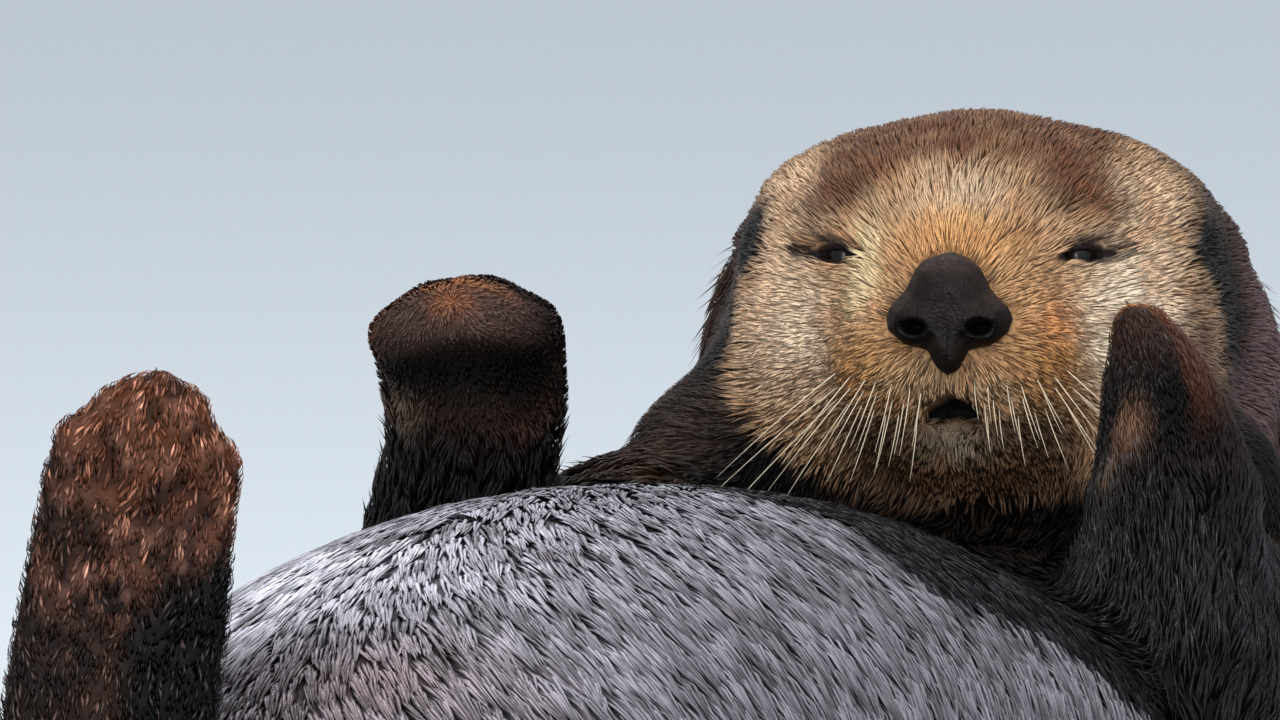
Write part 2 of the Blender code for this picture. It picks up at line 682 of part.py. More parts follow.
def build():
    for obj in list(bpy.data.objects):
        bpy.data.objects.remove(obj)
    paint = {name: material(name, colour, 0.75) for name, colour in FUR_COLOURS.items()}

    core = on_floor(make_core())
    nose = make_nose()
    ears = {side: make_ear(side) for side in SIDES}
    forelimbs = {side: make_forelimb(side) for side in SIDES}
    hindlimbs = {side: on_floor(make_hindlimb(side)) for side in SIDES}
    for neighbour in (nose, *ears.values(), *forelimbs.values(), *hindlimbs.values()):
        core = without(core, neighbour)
    outwards(core)
    finished(nose, "nose", paint["black"])

    head, jaw, rest = part_head(core)
    for side in SIDES:
        finished(ears[side], "ear_" + side, paint["brown"])
        head = with_eye_socket(head, side)
        finished(make_eye(side), "eye_" + side, paint["black"])
    finished(head, "head", paint["cream"])
    finished(jaw, "jaw", paint["cream"])

    neck, rest = split_beyond(rest, "neck", *NECK_PLANE)
    finished(neck, "neck", paint["brown"])
    colours = {"chest": "dark", "belly": "grey", "hips": "grey", "tail_root": "brown"}
    for name, y in TRUNK_CUTS:
        piece, rest = split_beyond(rest, name, (0, y, 0), (0, 1, 0))
        finished(piece, name, paint[colours[name]])
    finished(rest, "tail_tip", paint["brown"])

    for side in SIDES:
        pieces, claws = part_forelimb(forelimbs[side], side)
        for name, piece in pieces.items():
            finished(piece, name, paint["dark"])
        more_pieces, more_claws = part_hindlimb(hindlimbs[side], side)
        for name, piece in more_pieces.items():
            finished(piece, name, paint["foot"])
        for claw in claws + more_claws:
            finished(claw, claw.name, paint["claw"])


build()
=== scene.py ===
"""The looks of a sea otter that floats on its back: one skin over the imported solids, a coat of mesh
tufts that follows the lie of the fur, and finer eyes, nose, claws and whiskers.

Metres, +Z up, in the frame of the solids: head towards +Y, belly up, the otter's own left at +X.
"""

import math
from typing import NamedTuple

import bpy
import numpy as np
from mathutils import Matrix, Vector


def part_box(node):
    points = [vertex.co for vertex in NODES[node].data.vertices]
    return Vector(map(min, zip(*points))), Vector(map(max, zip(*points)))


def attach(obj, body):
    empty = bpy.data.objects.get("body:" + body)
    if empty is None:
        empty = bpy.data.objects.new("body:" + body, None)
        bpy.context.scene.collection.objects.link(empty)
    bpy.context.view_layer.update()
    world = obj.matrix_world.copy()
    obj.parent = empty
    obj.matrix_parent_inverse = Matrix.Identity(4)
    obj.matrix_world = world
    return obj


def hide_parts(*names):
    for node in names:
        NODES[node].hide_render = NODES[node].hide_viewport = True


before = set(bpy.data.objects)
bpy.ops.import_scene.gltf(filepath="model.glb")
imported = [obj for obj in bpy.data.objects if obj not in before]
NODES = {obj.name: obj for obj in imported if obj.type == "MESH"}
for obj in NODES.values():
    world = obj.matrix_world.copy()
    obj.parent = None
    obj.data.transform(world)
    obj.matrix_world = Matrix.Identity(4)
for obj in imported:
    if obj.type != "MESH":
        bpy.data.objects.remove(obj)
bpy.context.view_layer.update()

import openvdb
from mathutils import Vector, noise
from mathutils.bvhtree import BVHTree
from mathutils.kdtree import KDTree

MM = 0.001
DENSITY = 1.0     # share of the tufts that are made


# -------- small vector helpers
def unit(v):
    return v / np.maximum(np.linalg.norm(v, axis=-1, keepdims=True), 1e-12)


def smoothstep(low, high, x):
    t = np.clip((x - low) / (high - low), 0, 1)
    return t * t * (3 - 2 * t)


def mix(a, b, t):
    return a + (b - a) * t


def bell(*offsets):
    """1 where the offsets are 0, and nearly 0 where any of them is over 2."""
    return np.exp(-sum(offset**2 for offset in offsets))


def blob(points, middle, reach, power=1.5):
    """1 at middle and about 0.4 at reach; a higher power is flatter inside, with a sharper edge."""
    return np.exp(-((((points - middle) / reach) ** 2).sum(axis=1)) ** power)


def along_surface(vectors, normals):
    """The vectors turned to lie along the surface, one long."""
    return unit(vectors - normals * (vectors * normals).sum(axis=1, keepdims=True))


def mottle(points, size, stretch=(1, 1, 1)):
    """Soft noise from -1 to 1 with patches of about size mm, the same in each run."""
    scaled = points / (size * MM) / np.array(stretch)
    return np.clip([noise.noise(p) * 1.9 for p in scaled.tolist()], -1, 1)


def centre(node):
    low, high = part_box(node)
    return np.array((low + high) / 2)


def linear(red, green, blue):
    """A colour given in 0 to 255 as light, as the shaders need it."""
    c = np.array((red, green, blue)) / 255
    return np.where(c > 0.04045, ((c + 0.055) / 1.055) ** 2.4, c / 12.92)


def add_object(name, data):
    made = bpy.data.objects.new(name, data)
    bpy.context.scene.collection.objects.link(made)
    return made


class Place:
    """A point with three axes; local sizes are in millimetres."""

    def __init__(self, origin, *axes):
        self.origin = np.array(origin, float)
        self.axes = np.stack(axes, axis=1)

    def local(self, points):
        return (points - self.origin) @ self.axes / MM

    def world(self, local):
        return self.origin + (np.asarray(local, float) * MM) @ self.axes.T

    def direction(self, *local):
        return self.axes @ np.array(local, float)


# -------- landmarks, all from the solids
EYE_AHEAD, EYE_ABOVE = 51.5, 16.5       # of the point between the eyes, in the head's frame
NOSE_SLOPE = math.radians(28.4)         # from that point down to the nose pad
EYE_GAZE = (0.48, 0.86, 0.16)           # of the left eye, in the head's frame
EYE_RADIUS = 7.2                        # of the opening between the lids, and of the ball
SIDES = {"left": 1, "right": -1}
LIMBS = {"finger": ("upper_arm_", "forearm_", "forepaw_"), "toe": ("thigh_", "shank_", "hind_foot_")}


def head_place():
    """The head's frame: side to the otter's left, ahead to the nose, above to the crown."""
    left_eye, right_eye = centre("eye_left"), centre("eye_right")
    side = unit(left_eye - right_eye)
    between = (left_eye + right_eye) / 2
    to_nose = centre("nose") - between
    to_nose = unit(to_nose - side * (to_nose @ side))
    square = np.cross(to_nose, side)
    square = square * np.sign(square[2])
    ahead = to_nose * math.cos(NOSE_SLOPE) + square * math.sin(NOSE_SLOPE)
    above = square * math.cos(NOSE_SLOPE) - to_nose * math.sin(NOSE_SLOPE)
    return Place(between - (ahead * EYE_AHEAD + above * EYE_ABOVE) * MM, side, ahead, above)


HEAD = head_place()


def eye_place(name):
    """An eye's frame: across the slit, out along the gaze, and up."""
    side, ahead, above = EYE_GAZE
    gaze = unit(HEAD.direction(side * SIDES[name], ahead, above))
    across = unit(np.cross(gaze, HEAD.direction(0, 0, 1)))
    across = across * np.sign(across @ HEAD.direction(1, 0, 0))
    up = np.cross(across, gaze)
    up = up * np.sign(up @ HEAD.direction(0, 0, 1))
    return Place(centre("eye_" + name), across, gaze, up)


EYES = {name: eye_place(name) for name in SIDES}


def claws(digit, side):
    return [f"{digit}_claw_{side}_{i}" for i in range(1, 6)]


def claws_middle(digit, side):
    return np.mean([centre(claw) for claw in claws(digit, side)], axis=0)


def one_sided(local):
    """Points in the head's frame, with those on its right folded over to the left."""
    return np.column_stack((np.abs(local[:, 0]), local[:, 1:]))


# -------- camera, light and floor
def make_camera():
    """A long lens, low over the otter's feet, at its left."""
    azimuth, elevation, distance = math.radians(20), math.radians(8), 8.0
    level = math.cos(elevation)
    back = Vector((math.sin(azimuth) * level, -math.cos(azimuth) * level, math.sin(elevation)))
    right = Vector((math.cos(azimuth), math.sin(azimuth), 0))
    data = bpy.data.cameras.new("camera")
    data.lens, data.sensor_width, data.clip_end = 648, 36, 100
    camera = add_object("camera", data)
    aside, below = 0.118, 0.0184          # of the head's middle, from the middle of the picture
    camera.location = Vector(HEAD.origin) + back * distance - right * aside - back.cross(right) * below
    camera.rotation_euler = back.to_track_quat("Z", "Y").to_euler()
    bpy.context.scene.camera = camera


def make_light(name, place, size, power):
    """A square light that looks at the otter's middle."""
    data = bpy.data.lights.new(name, "AREA")
    data.size, data.energy = size, power
    light = add_object(name, data)
    light.location = place
    light.rotation_euler = (Vector(place) - Vector((0, 0, 0.15))).to_track_quat("Z", "Y").to_euler()


def make_studio():
    world = bpy.data.worlds.new("studio")
    world.use_nodes = True
    sky = world.node_tree.nodes["Background"]
    sky.inputs["Color"].default_value = (0.86, 0.92, 1.0, 1)
    sky.inputs["Strength"].default_value = 0.8
    bpy.context.scene.world = world
    bpy.context.scene.view_settings.view_transform = "Standard"
    make_light("sky", (0.3, -0.6, 2.6), 2.6, 36)
    make_light("front", (0.9, -3.2, 1.0), 2.2, 105)
    make_light("glint", (-0.6, 0.9, 2.2), 0.3, 16)
    mesh = bpy.data.meshes.new("floor")
    mesh.from_pydata([(-40, -40, 0), (40, -40, 0), (40, 40, 0), (-40, 40, 0)], [], [(0, 1, 2, 3)])
    pale = Shader("floor", 0.7)
    pale.surface.inputs["Base Color"].default_value = (0.60, 0.635, 0.66, 1)
    mesh.materials.append(pale.made)
    add_object("floor", mesh)


# -------- materials
class Shader:
    """A Principled material that is built up step by step."""

    def __init__(self, name, roughness, specular=0.5):
        self.made = bpy.data.materials.new(name)
        self.made.use_nodes = True
        self.tree = self.made.node_tree
        self.surface = self.tree.nodes["Principled BSDF"]
        self.surface.inputs["Roughness"].default_value = roughness
        self.surface.inputs["Specular IOR Level"].default_value = specular

    def node(self, kind, **sockets):
        node = self.tree.nodes.new(kind)
        for name, value in sockets.items():
            node.inputs[name.replace("_", " ")].default_value = value
        return node

    def link(self, start, end):
        self.tree.links.new(start, end)

    def pattern(self, kind, output, **sockets):
        """A texture that is fixed to the object."""
        texture = self.node(kind, **sockets)
        place = self.node("ShaderNodeTexCoord")
        self.link(place.outputs["Object"], texture.inputs["Vector"])
        return texture.outputs[output]

    def noise(self, scale, detail):
        return self.pattern("ShaderNodeTexNoise", "Fac", Scale=scale, Detail=detail)

    def ranged(self, value, low, high):
        """The middle range of a noise, spread from low to high."""
        ranged = self.node("ShaderNodeMapRange", From_Min=0.3, From_Max=0.7, To_Min=low, To_Max=high)
        self.link(value, ranged.inputs["Value"])
        return ranged.outputs["Result"]

    def marked(self, *factors):
        """Coloured by the markings on the mesh, made lighter or darker by each factor."""
        found = self.node("ShaderNodeAttribute")
        found.attribute_name = "fur_colour"
        colour = found.outputs["Color"]
        for factor in factors:
            scaled = self.node("ShaderNodeVectorMath")
            scaled.operation = "SCALE"
            self.link(colour, scaled.inputs[0])
            self.link(factor, scaled.inputs["Scale"])
            colour = scaled.outputs["Vector"]
        self.link(colour, self.surface.inputs["Base Color"])
        return self

    def rough(self, value, low, high):
        """Roughness that comes and goes between low and high."""
        self.link(self.ranged(value, low, high), self.surface.inputs["Roughness"])
        return self

    def bump(self, height, distance, strength):
        bump = self.node("ShaderNodeBump", Distance=distance, Strength=strength)
        self.link(height, bump.inputs["Height"])
        self.link(bump.outputs["Normal"], self.surface.inputs["Normal"])
        return self


def fur_shader(name, roughness, specular, flecks):
    """Fur: the markings from the mesh, with flecks, and a little gloss that comes and goes."""
    shader = Shader(name, roughness, specular)
    fleck = shader.ranged(shader.noise(900, 2), 1 - flecks, 1 + flecks)
    patch = shader.ranged(shader.noise(60, 3), 0.9, 1.1)
    shader.marked(fleck, patch)
    shader.rough(shader.noise(140, 2), roughness * 0.85, min(roughness * 1.2, 1))
    return shader.bump(shader.noise(2500, 2), 0.0002, 0.35).made


def plain_shader(name, roughness, specular, shades, gloss):
    """Shades on the markings, and a roughness: each a noise's scale and detail and two values."""
    shader = Shader(name, roughness, specular)
    shader.marked(shader.ranged(shader.noise(*shades[:2]), *shades[2:]))
    return shader.rough(shader.noise(*gloss[:2]), *gloss[2:])


# -------- meshes as arrays
def gathered(places, values, count):
    """The sum of the rows of values that go to each of count places."""
    return np.stack([np.bincount(places, column, count) for column in values.T], axis=1)


def halved(quads):
    """Two triangles from each quad."""
    return np.concatenate((quads[:, [0, 1, 2]], quads[:, [0, 2, 3]]))


class Surface:
    """A triangulated surface as arrays: points, triangles, edges and normals."""

    def __init__(self, points, triangles):
        self.points, self.triangles = points, triangles
        pairs = np.concatenate([triangles[:, [i, (i + 1) % 3]] for i in range(3)])
        self.edges = np.unique(np.sort(pairs, axis=1), axis=0)
        self.normals = self.find_normals()

    def crosses(self):
        a, b, c = (self.points[corner] for corner in self.triangles.T)
        return np.cross(b - a, c - a)

    def middles(self):
        return self.points[self.triangles].mean(axis=1)

    def areas(self):
        return np.linalg.norm(self.crosses(), axis=1) / 2

    def find_normals(self):
        crosses, count = self.crosses(), len(self.points)
        return unit(sum(gathered(corner, crosses, count) for corner in self.triangles.T))

    def spread(self, values, rounds, share=0.5):
        """Values at the points, evened out with their neighbours'."""
        flat = values.reshape(len(values), -1).astype(float)
        a, b = self.edges.T
        count = np.maximum(np.bincount(self.edges.ravel(), minlength=len(flat)), 1)[:, None]
        for _ in range(rounds):
            total = gathered(a, flat[b], len(flat)) + gathered(b, flat[a], len(flat))
            flat = mix(flat, total / count, share)
        return flat.reshape(values.shape)

    def relaxed(self, rounds):
        """The surface smoothed inward and outward by turns, which keeps its volume."""
        for _ in range(rounds):
            self.points = self.spread(self.points, 1, 0.5)
            self.points = self.spread(self.points, 1, -0.52)
        self.normals = self.find_normals()
        return self

    def refined(self, wanted):
        """Each wanted triangle in four, and its neighbours cut to match."""
        corners = self.triangles
        keys = np.stack([np.sort(corners[:, [i, (i + 1) % 3]], axis=1) for i in range(3)], axis=1)
        codes = keys[..., 0] * len(self.points) + keys[..., 1]
        split = np.unique(codes[wanted])
        middles = np.stack((split // len(self.points), split % len(self.points)), axis=1)
        points = np.concatenate((self.points, self.points[middles].mean(axis=1)))
        found = np.minimum(np.searchsorted(split, codes), len(split) - 1)
        cut, halfway = split[found] == codes, found + len(self.points)
        count, made = cut.sum(axis=1), [corners[~cut.any(axis=1)]]
        for i in range(3):
            (a, b, c), (ab, bc, ca) = np.roll(corners, -i, 1).T, np.roll(halfway, -i, 1).T
            one, two = (count == 1) & cut[:, i], (count == 2) & ~cut[:, i]
            made += [np.stack(face, 1)[one] for face in ((a, ab, c), (ab, b, c))]
            made += [np.stack(face, 1)[two] for face in ((a, b, bc), (a, bc, ca), (ca, bc, c))]
        (a, b, c), (ab, bc, ca) = corners[count == 3].T, halfway[count == 3].T
        made += [np.stack(face, 1) for face in ((a, ab, ca), (ab, b, bc), (ca, bc, c), (ab, bc, ca))]
        return Surface(points, np.concatenate(made))


def mesh_arrays(node):
    """A node's points and triangles."""
    mesh = NODES[node].data
    mesh.calc_loop_triangles()
    points = np.zeros(len(mesh.vertices) * 3, np.float32)
    mesh.vertices.foreach_get("co", points)
    triangles = np.zeros(len(mesh.loop_triangles) * 3, np.int32)
    mesh.loop_triangles.foreach_get("vertices", triangles)
    return points.reshape(-1, 3), triangles.reshape(-1, 3)


def soup(nodes):
    """All the nodes' triangles together, and the number of the node that each belongs to."""
    points, triangles, owners, start = [], [], [], 0
    for number, node in enumerate(nodes):
        p, t = mesh_arrays(node)
        points.append(p)
        triangles.append(t + start)
        owners.append(np.full(len(t), number))
        start += len(p)
    return np.concatenate(points), np.concatenate(triangles), np.concatenate(owners)


def meshed(points, triangles, step):
    """The outside of closed solids as one surface, with points about step apart."""
    transform = openvdb.createLinearTransform(voxelSize=step)
    make = openvdb.FloatGrid.createLevelSetFromPolygons
    places, quads = make(points, triangles=triangles, transform=transform).convertToQuads(isovalue=0.0)
    return Surface(places.astype(float), halved(quads[:, ::-1].astype(np.int64)))


def new_mesh_object(name, points, faces):
    """An object from points and a list of face arrays, each with its own number of corners."""
    mesh = bpy.data.meshes.new(name)
    mesh.vertices.add(len(points))
    mesh.vertices.foreach_set("co", np.asarray(points, np.float32).ravel())
    corners = np.concatenate([f.ravel() for f in faces]).astype(np.int32)
    sizes = np.concatenate([np.full(len(f), f.shape[1]) for f in faces])
    mesh.loops.add(len(corners))
    mesh.loops.foreach_set("vertex_index", corners)
    mesh.polygons.add(len(sizes))
    mesh.polygons.foreach_set("loop_start", (np.cumsum(sizes) - sizes).astype(np.int32))
    mesh.update(calc_edges=True)
    mesh.shade_smooth()
    return add_object(name, mesh)


def paint(obj, colours):
    layer = obj.data.attributes.new("fur_colour", "FLOAT_COLOR", "POINT")
    rgba = np.ones((len(colours), 4), np.float32)
    rgba[:, :3] = np.clip(colours, 0, 1)
    layer.data.foreach_set("color", rgba.ravel())


# -------- what each part's coat is like
# Of each part: the coat's depth and a tuft's length and width in mm; tufts to a square centimetre; how
# far apart in mm the wet points are that tufts draw together in, and how much they do.
COATS = {
    "head": (4.2, 10, 0.85, 52, 7, 0.30),
    "jaw": (4.0, 9, 0.85, 52, 7, 0.30),
    "neck": (8.0, 22, 1.7, 15, 10, 0.62),
    "chest": (6.0, 24, 1.5, 17, 9, 0.60),
    "belly": (4.2, 30, 1.9, 21, 8, 0.60),
    "hips": (4.4, 28, 1.9, 19, 8, 0.60),
    "tail_root": (6.0, 26, 2.6, 8, 13, 0.65),
    "tail_tip": (4.0, 20, 2.2, 9, 12, 0.65),
    "ear": (1.0, 5, 0.9, 30, 4, 0.30),
    "upper_arm": (6.0, 20, 1.9, 13, 10, 0.65),
    "forearm": (4.5, 15, 1.6, 16, 9, 0.65),
    "forepaw": (1.8, 4.5, 0.8, 42, 4, 0.35),
    "thigh": (6.0, 24, 2.2, 10, 12, 0.70),
    "shank": (4.5, 16, 1.8, 13, 10, 0.65),
    "hind_foot": (2.2, 5.5, 1.15, 27, 4, 0.45),
    "nose": (3.0, 4, 0.7, 0, 5, 0.0),
    "eye": (2.5, 4, 0.6, 60, 5, 0.0),
}
HEAD_PARTS = ("head", "jaw", "eye", "nose")
NAMES = [name for name in NODES if "claw" not in name]
FLESH = [name for name in NAMES if "eye" not in name and name != "nose"]


def kind(name):
    return name.replace("_left", "").replace("_right", "")


# -------- skin
SKIN_STEP = 4.3 * MM
FLOOR_GAP = 1.0 * MM


class Skin:
    """The skin's surface, with the part, coat, place on the head, flow and colour of its points."""

    def __init__(self):
        points, triangles, part = soup(NAMES)
        surface = meshed(points, triangles, SKIN_STEP).relaxed(10)
        surface = surface.refined(near_face(surface)).relaxed(2)
        surface = surface.refined(near_features(surface, 1.5)).relaxed(2)
        self.surface = surface.refined(near_features(surface, 1.0)).relaxed(1)
        solid = BVHTree.FromPolygons(points.tolist(), triangles.tolist())
        nearest = [solid.find_nearest(p)[2] for p in self.surface.points]
        self.part = part[nearest]
        rows = np.array([COATS[kind(name)] for name in NAMES])
        self.coat = self.surface.spread(rows[self.part], 14)
        self.shape()
        self.local = HEAD.local(self.surface.points)
        self.flow = self.find_flow()
        self.colour = paint_skin(self)

    def of(self, *kinds):
        """Which points belong to parts of these kinds, or of these names."""
        return np.isin(self.part, [i for i, n in enumerate(NAMES) if kind(n) in kinds or n in kinds])

    def near(self, rounds, *kinds):
        """1 on those parts, and less within that many points of their edges."""
        return self.surface.spread(self.of(*kinds).astype(float), rounds)

    def shape(self):
        """Sinks the surface by the coat's depth, then folds the lids and lips."""
        surface = self.surface
        surface.points = surface.points - surface.normals * (self.coat[:, :1] * MM)
        surface.points[:, 2] = np.maximum(surface.points[:, 2], FLOOR_GAP)
        surface.relaxed(2)
        for place in EYES.values():
            fold_lids(surface, place)
        fold_mouth(surface)
        surface.normals = surface.find_normals()

    def find_flow(self):
        """The lie of the fur: away from the nose, back along the trunk, out along the limbs."""
        points, normals = self.surface.points, self.surface.normals
        flow = points - HEAD.world((0, 92, -4))     # the nose's tip
        flow[self.of("neck")] = (0, -0.55, -0.80)
        trunk = self.of("chest", "belly", "hips", "tail_root", "tail_tip")
        flow[trunk, 0] = combed(points, normals)[trunk]
        flow[trunk, 1:] = (-1, 0)
        for side, sign in SIDES.items():
            for digit, names in LIMBS.items():
                joints = [centre(name + side) for name in names] + [claws_middle(digit, side)]
                for name, start, end in zip(names, joints, joints[1:]):
                    flow[self.of(name + side)] = end - start
            flow[self.of("ear_" + side)] = HEAD.direction(sign, -0.4, 0.5)
        flow = along_surface(flow, normals)
        for _ in range(5):
            flow = along_surface(self.surface.spread(flow, 5), normals)
        return flow


def near_face(surface):
    local = HEAD.local(surface.middles())
    return (local[:, 1] > 12) & (np.linalg.norm(local, axis=1) < 120)


def near_features(surface, reach):
    """Near the eyes and mouth."""
    middles = surface.middles()
    wanted = np.linalg.norm((HEAD.local(middles) - (0, 80, -36)) / (15, 25, 9), axis=1) < reach
    for place in EYES.values():
        wanted |= np.linalg.norm(place.local(middles) / (9, 15, 7), axis=1) < reach
    return wanted


def fold_lids(surface, place):
    """Lids over the ball with a crease along each, and the slit between them pushed in."""
    x, y, z = place.local(surface.points).T
    near = (np.hypot(x, z) < 17) & (y > 0)
    lid = np.sqrt(np.maximum((EYE_RADIUS + 1.3) ** 2 - x**2 - z**2, 0))
    closeness = 1 - smoothstep(6, 15, np.hypot(x, z * 1.25))
    target = mix(y, np.maximum(lid, np.minimum(y, 7.0)), closeness)
    fold = bell((z - 4.6 + 0.02 * x**2) / 1.1) - 0.8 * bell((z + 4.8 - 0.03 * x**2) / 1.3)
    target += 0.9 * fold * (1 - smoothstep(7, 13, np.abs(x))) * np.sign(z)
    target = mix(target, -1.5, smoothstep(-0.15, 0.25, slit(x, z)))
    moved = place.world(np.stack((x, np.where(near, target, y), z), axis=1))
    surface.points[near] = moved[near]


def fold_mouth(surface):
    """The lips' parting, the groove above it, the lower lip, the whisker pads and the nostrils."""
    x, y, z = HEAD.local(surface.points).T
    front = (y > 50) & (z > -62) & (z < 0)
    parting = smoothstep(-2.0, 1.0, mouth(np.abs(x), z))
    philtrum = bell(x / 1.6) * smoothstep(-34, -30, z) * (1 - smoothstep(-22, -17, z))
    lower = bell((z + 44) / 4, x / 11)
    pads = bell((np.abs(x) - 15) / 11, (z + 24) / 10)
    nostrils = bell((np.abs(x) - 11) / 8, (z + 8) / 7) * (y > 70)
    push = -13.0 * parting - 2.0 * philtrum + 1.6 * lower + 1.5 * pads - 10.0 * nostrils
    push = np.where(front, push, 0)
    surface.points = HEAD.world(np.stack((x, y + push, z), axis=1))


def combed(points, normals):
    """How far the trunk's fur turns sideways for each step back, from a line at the belly's right."""
    aside = np.clip((points[:, 0] / MM + 55) / 125, -1, 1.2)
    return 1.3 * aside * smoothstep(-0.6, 0.5, normals[:, 2])


def slit(x, z):
    """Over 0 inside the opening between the lids, in mm from its edge."""
    half = 2.0 * np.sqrt(np.maximum(1 - (x / EYE_RADIUS) ** 2, 0)) - 0.15
    return half - np.abs(z - 0.3 - 0.03 * x)


def mouth(side, above):
    """Over 0 in the lips' parting, a low roof under the nose, in mm from its edge."""
    thick = 3.9 * np.sqrt(np.maximum(1 - (side / 10.5) ** 2, 0)) - 0.4
    return thick - np.abs(above + 34.5 + 0.35 * side)


# -------- markings
# All colours are given in 0 to 255.
FUR_COLOURS = {
    "head": (184, 147, 110), "jaw": (106, 82, 62), "neck": (62, 44, 38), "chest": (15, 14, 19),
    "belly": (136, 133, 141), "hips": (124, 116, 122), "tail_root": (78, 66, 64),
    "tail_tip": (66, 54, 50), "ear": (74, 54, 44), "upper_arm": (24, 20, 20), "forearm": (19, 17, 19),
    "forepaw": (36, 25, 22), "thigh": (80, 70, 70), "shank": (46, 38, 37), "hind_foot": (40, 22, 15),
    "nose": (14, 11, 11), "eye": (110, 88, 70),
}
# Each mark on the face: its colour, its middle and reach in the head's frame, how strong it is (over 1
# it has a flat middle), and True if it is on both sides.
FACE_MARKS = (
    ((226, 193, 158), (60, 42, 34), (24, 30, 20), 0.8, True),
    ((242, 208, 174), (62, 50, -10), (23, 28, 28), 0.85, True),
    ((197, 172, 143), (0, 66, 34), (15, 18, 14), 0.8),
    ((206, 155, 96), (2, 80, 19), (24, 16, 11), 0.9),
    ((200, 152, 106), (23, 80, 6), (10, 14, 13), 0.7, True),
    ((234, 215, 170), (-27, 72, 12), (6, 14, 17), 0.85),
    ((204, 130, 74), (33, 77, -9), (9, 15, 13), 0.75),
    ((188, 136, 80), (29, 84, -20), (17, 20, 13), 0.75, True),
    ((158, 136, 108), (14, 88, -26), (12, 14, 8), 0.6, True),
    ((244, 220, 190), (51, 64, -8), (12, 22, 20), 0.85, True),
    ((112, 86, 68), (46, 56, 20), (11, 12, 6), 0.75, True),
    ((84, 66, 56), (52, 52, 30), (11, 10, 4), 0.5, True),
    ((132, 120, 102), (0, 76, -46), (13, 16, 6), 0.9),
    ((126, 92, 66), (0, 60, -60), (44, 28, 11), 0.9),
    # painted light: the otter's left cheek made lighter, against the shade that falls on it
    ((255, 238, 210), (56, 60, -6), (17, 22, 24), 0.8),
    ((62, 42, 32), (37, 60, 37), (14, 20, 10), 0.9, True),
)
# And the marks at the sides of the head, painted over the rest: the ears' slits, black as painted shade
# in them, and the ruff.
SIDE_MARKS = (
    ((122, 92, 92), (94, -14, -20), (16, 30, 60), 0.75),
    ((80, 52, 42), (81, 38, -12), (12, 18, 19), 0.95),
    ((34, 25, 21), (-88, 14, -8), (14, 14, 26), 1.2),
    ((58, 42, 35), (84, 2, 18), (22, 17, 26), 1.2, True),
    # painted shade: the black in the ears' slits
    ((8, 5, 5), (-76, 25, 23), (18, 14, 13), 1.5),
    ((10, 7, 6), (83, 15, 19), (18, 16, 13), 1.4),
    ((34, 24, 21), (90, 2, -4), (16, 15, 20), 1.3),
    ((70, 51, 42), (-104, 42, -47), (22, 26, 11), 0.8),
)


def blend(colour, area, *layers):
    """Blends each layer's shade into the colours, by its weight in the area."""
    for shade, weight in layers:
        colour[:] = mix(colour, linear(*shade), np.clip(area * weight, 0, 1)[:, None])


def paint_marks(colour, marks, local, area):
    for shade, middle, reach, strength, *both in marks:
        place = one_sided(local) if both else local
        blend(colour, area, (shade, blob(place, middle, reach) * strength))


def paint_skin(skin):
    """The markings, as light, at each point of the skin."""
    parts = np.array([linear(*FUR_COLOURS[kind(name)]) for name in NAMES])
    colour = skin.surface.spread(parts[skin.part], 24)
    paint_trunk(skin, colour)
    paint_limbs(skin, colour)
    paint_head(skin, colour)
    return np.clip(colour, 0, 1)


def paint_head(skin, colour):
    """The face's and crown's marks, the dark below and behind them with black painted shade under the
    jaw, then the ruff, lips and lids.
    """
    local, points = skin.local, skin.surface.points
    side, ahead, above = np.abs(local[:, 0]), local[:, 1], local[:, 2]
    head = skin.near(4, *HEAD_PARTS)
    around = smoothstep(0, 0.2, skin.near(14, *HEAD_PARTS))
    paint_marks(colour, FACE_MARKS, local, head)
    crown = smoothstep(-5, 7, above - 44 + 0.009 * side**2) * (1 - smoothstep(41, 56, side))
    blotch = mottle(points, 9)
    tan = (1 - crown) * smoothstep(0.15, 0.8, blotch) * 0.45 * (ahead > 15) * (above > -38)
    blend(colour, head, ((102, 62, 39), crown * (0.9 + 0.2 * blotch)), ((176, 124, 84), tan))
    rim = (side / 86) ** 2.2 + (np.maximum(-above, 0) / 69) ** 2.2
    behind = ahead + 0.12 * above + 7 * mottle(points, 16)
    flank = smoothstep(26, 54, side)
    blend(colour, around,
          ((60, 46, 38), smoothstep(0.88, 1.12, rim)),
          # painted shade: black under the jaw
          ((3, 3, 3), smoothstep(0.86, 0.98, rim) * smoothstep(30, 50, -above)),
          ((64, 47, 39), (1 - smoothstep(-18, 26, behind)) * flank),
          ((86, 60, 46), (1 - smoothstep(-12, 26, behind)) * (1 - flank)))
    paint_marks(colour, SIDE_MARKS, local, around)
    blend(colour, head, ((12, 9, 9), smoothstep(-1.5, 0.8, mouth(side, above)) * (ahead > 52)))
    blend(colour, 1, ((14, 11, 11), smoothstep(0.3, 0.8, skin.near(2, "nose"))))
    for place in EYES.values():
        x, y, z = place.local(points).T
        lids = smoothstep(-3.6, -1.2, slit(x, z)) * (y > -4) * (np.hypot(x, z) < 12)
        blend(colour, 1, ((30, 22, 19), lids))


# Marks on the limbs, in mm from the origin.
LIMB_MARKS = (
    ((150, 108, 82), (95, 192, 249), (9, 14, 11), 0.6),
    ((180, 138, 108), (90, 184, 234), (4, 9, 10), 0.8),
    ((104, 88, 74), (-149, 138, 246), (9, 14, 11), 0.8),
    ((58, 49, 56), (-52, -262, 222), (26, 50, 40), 0.85),
    ((62, 46, 38), (-100, 246, 227), (20, 22, 12), 0.7),
    ((96, 70, 58), (-122, 134, 250), (34, 20, 9), 0.2),
)


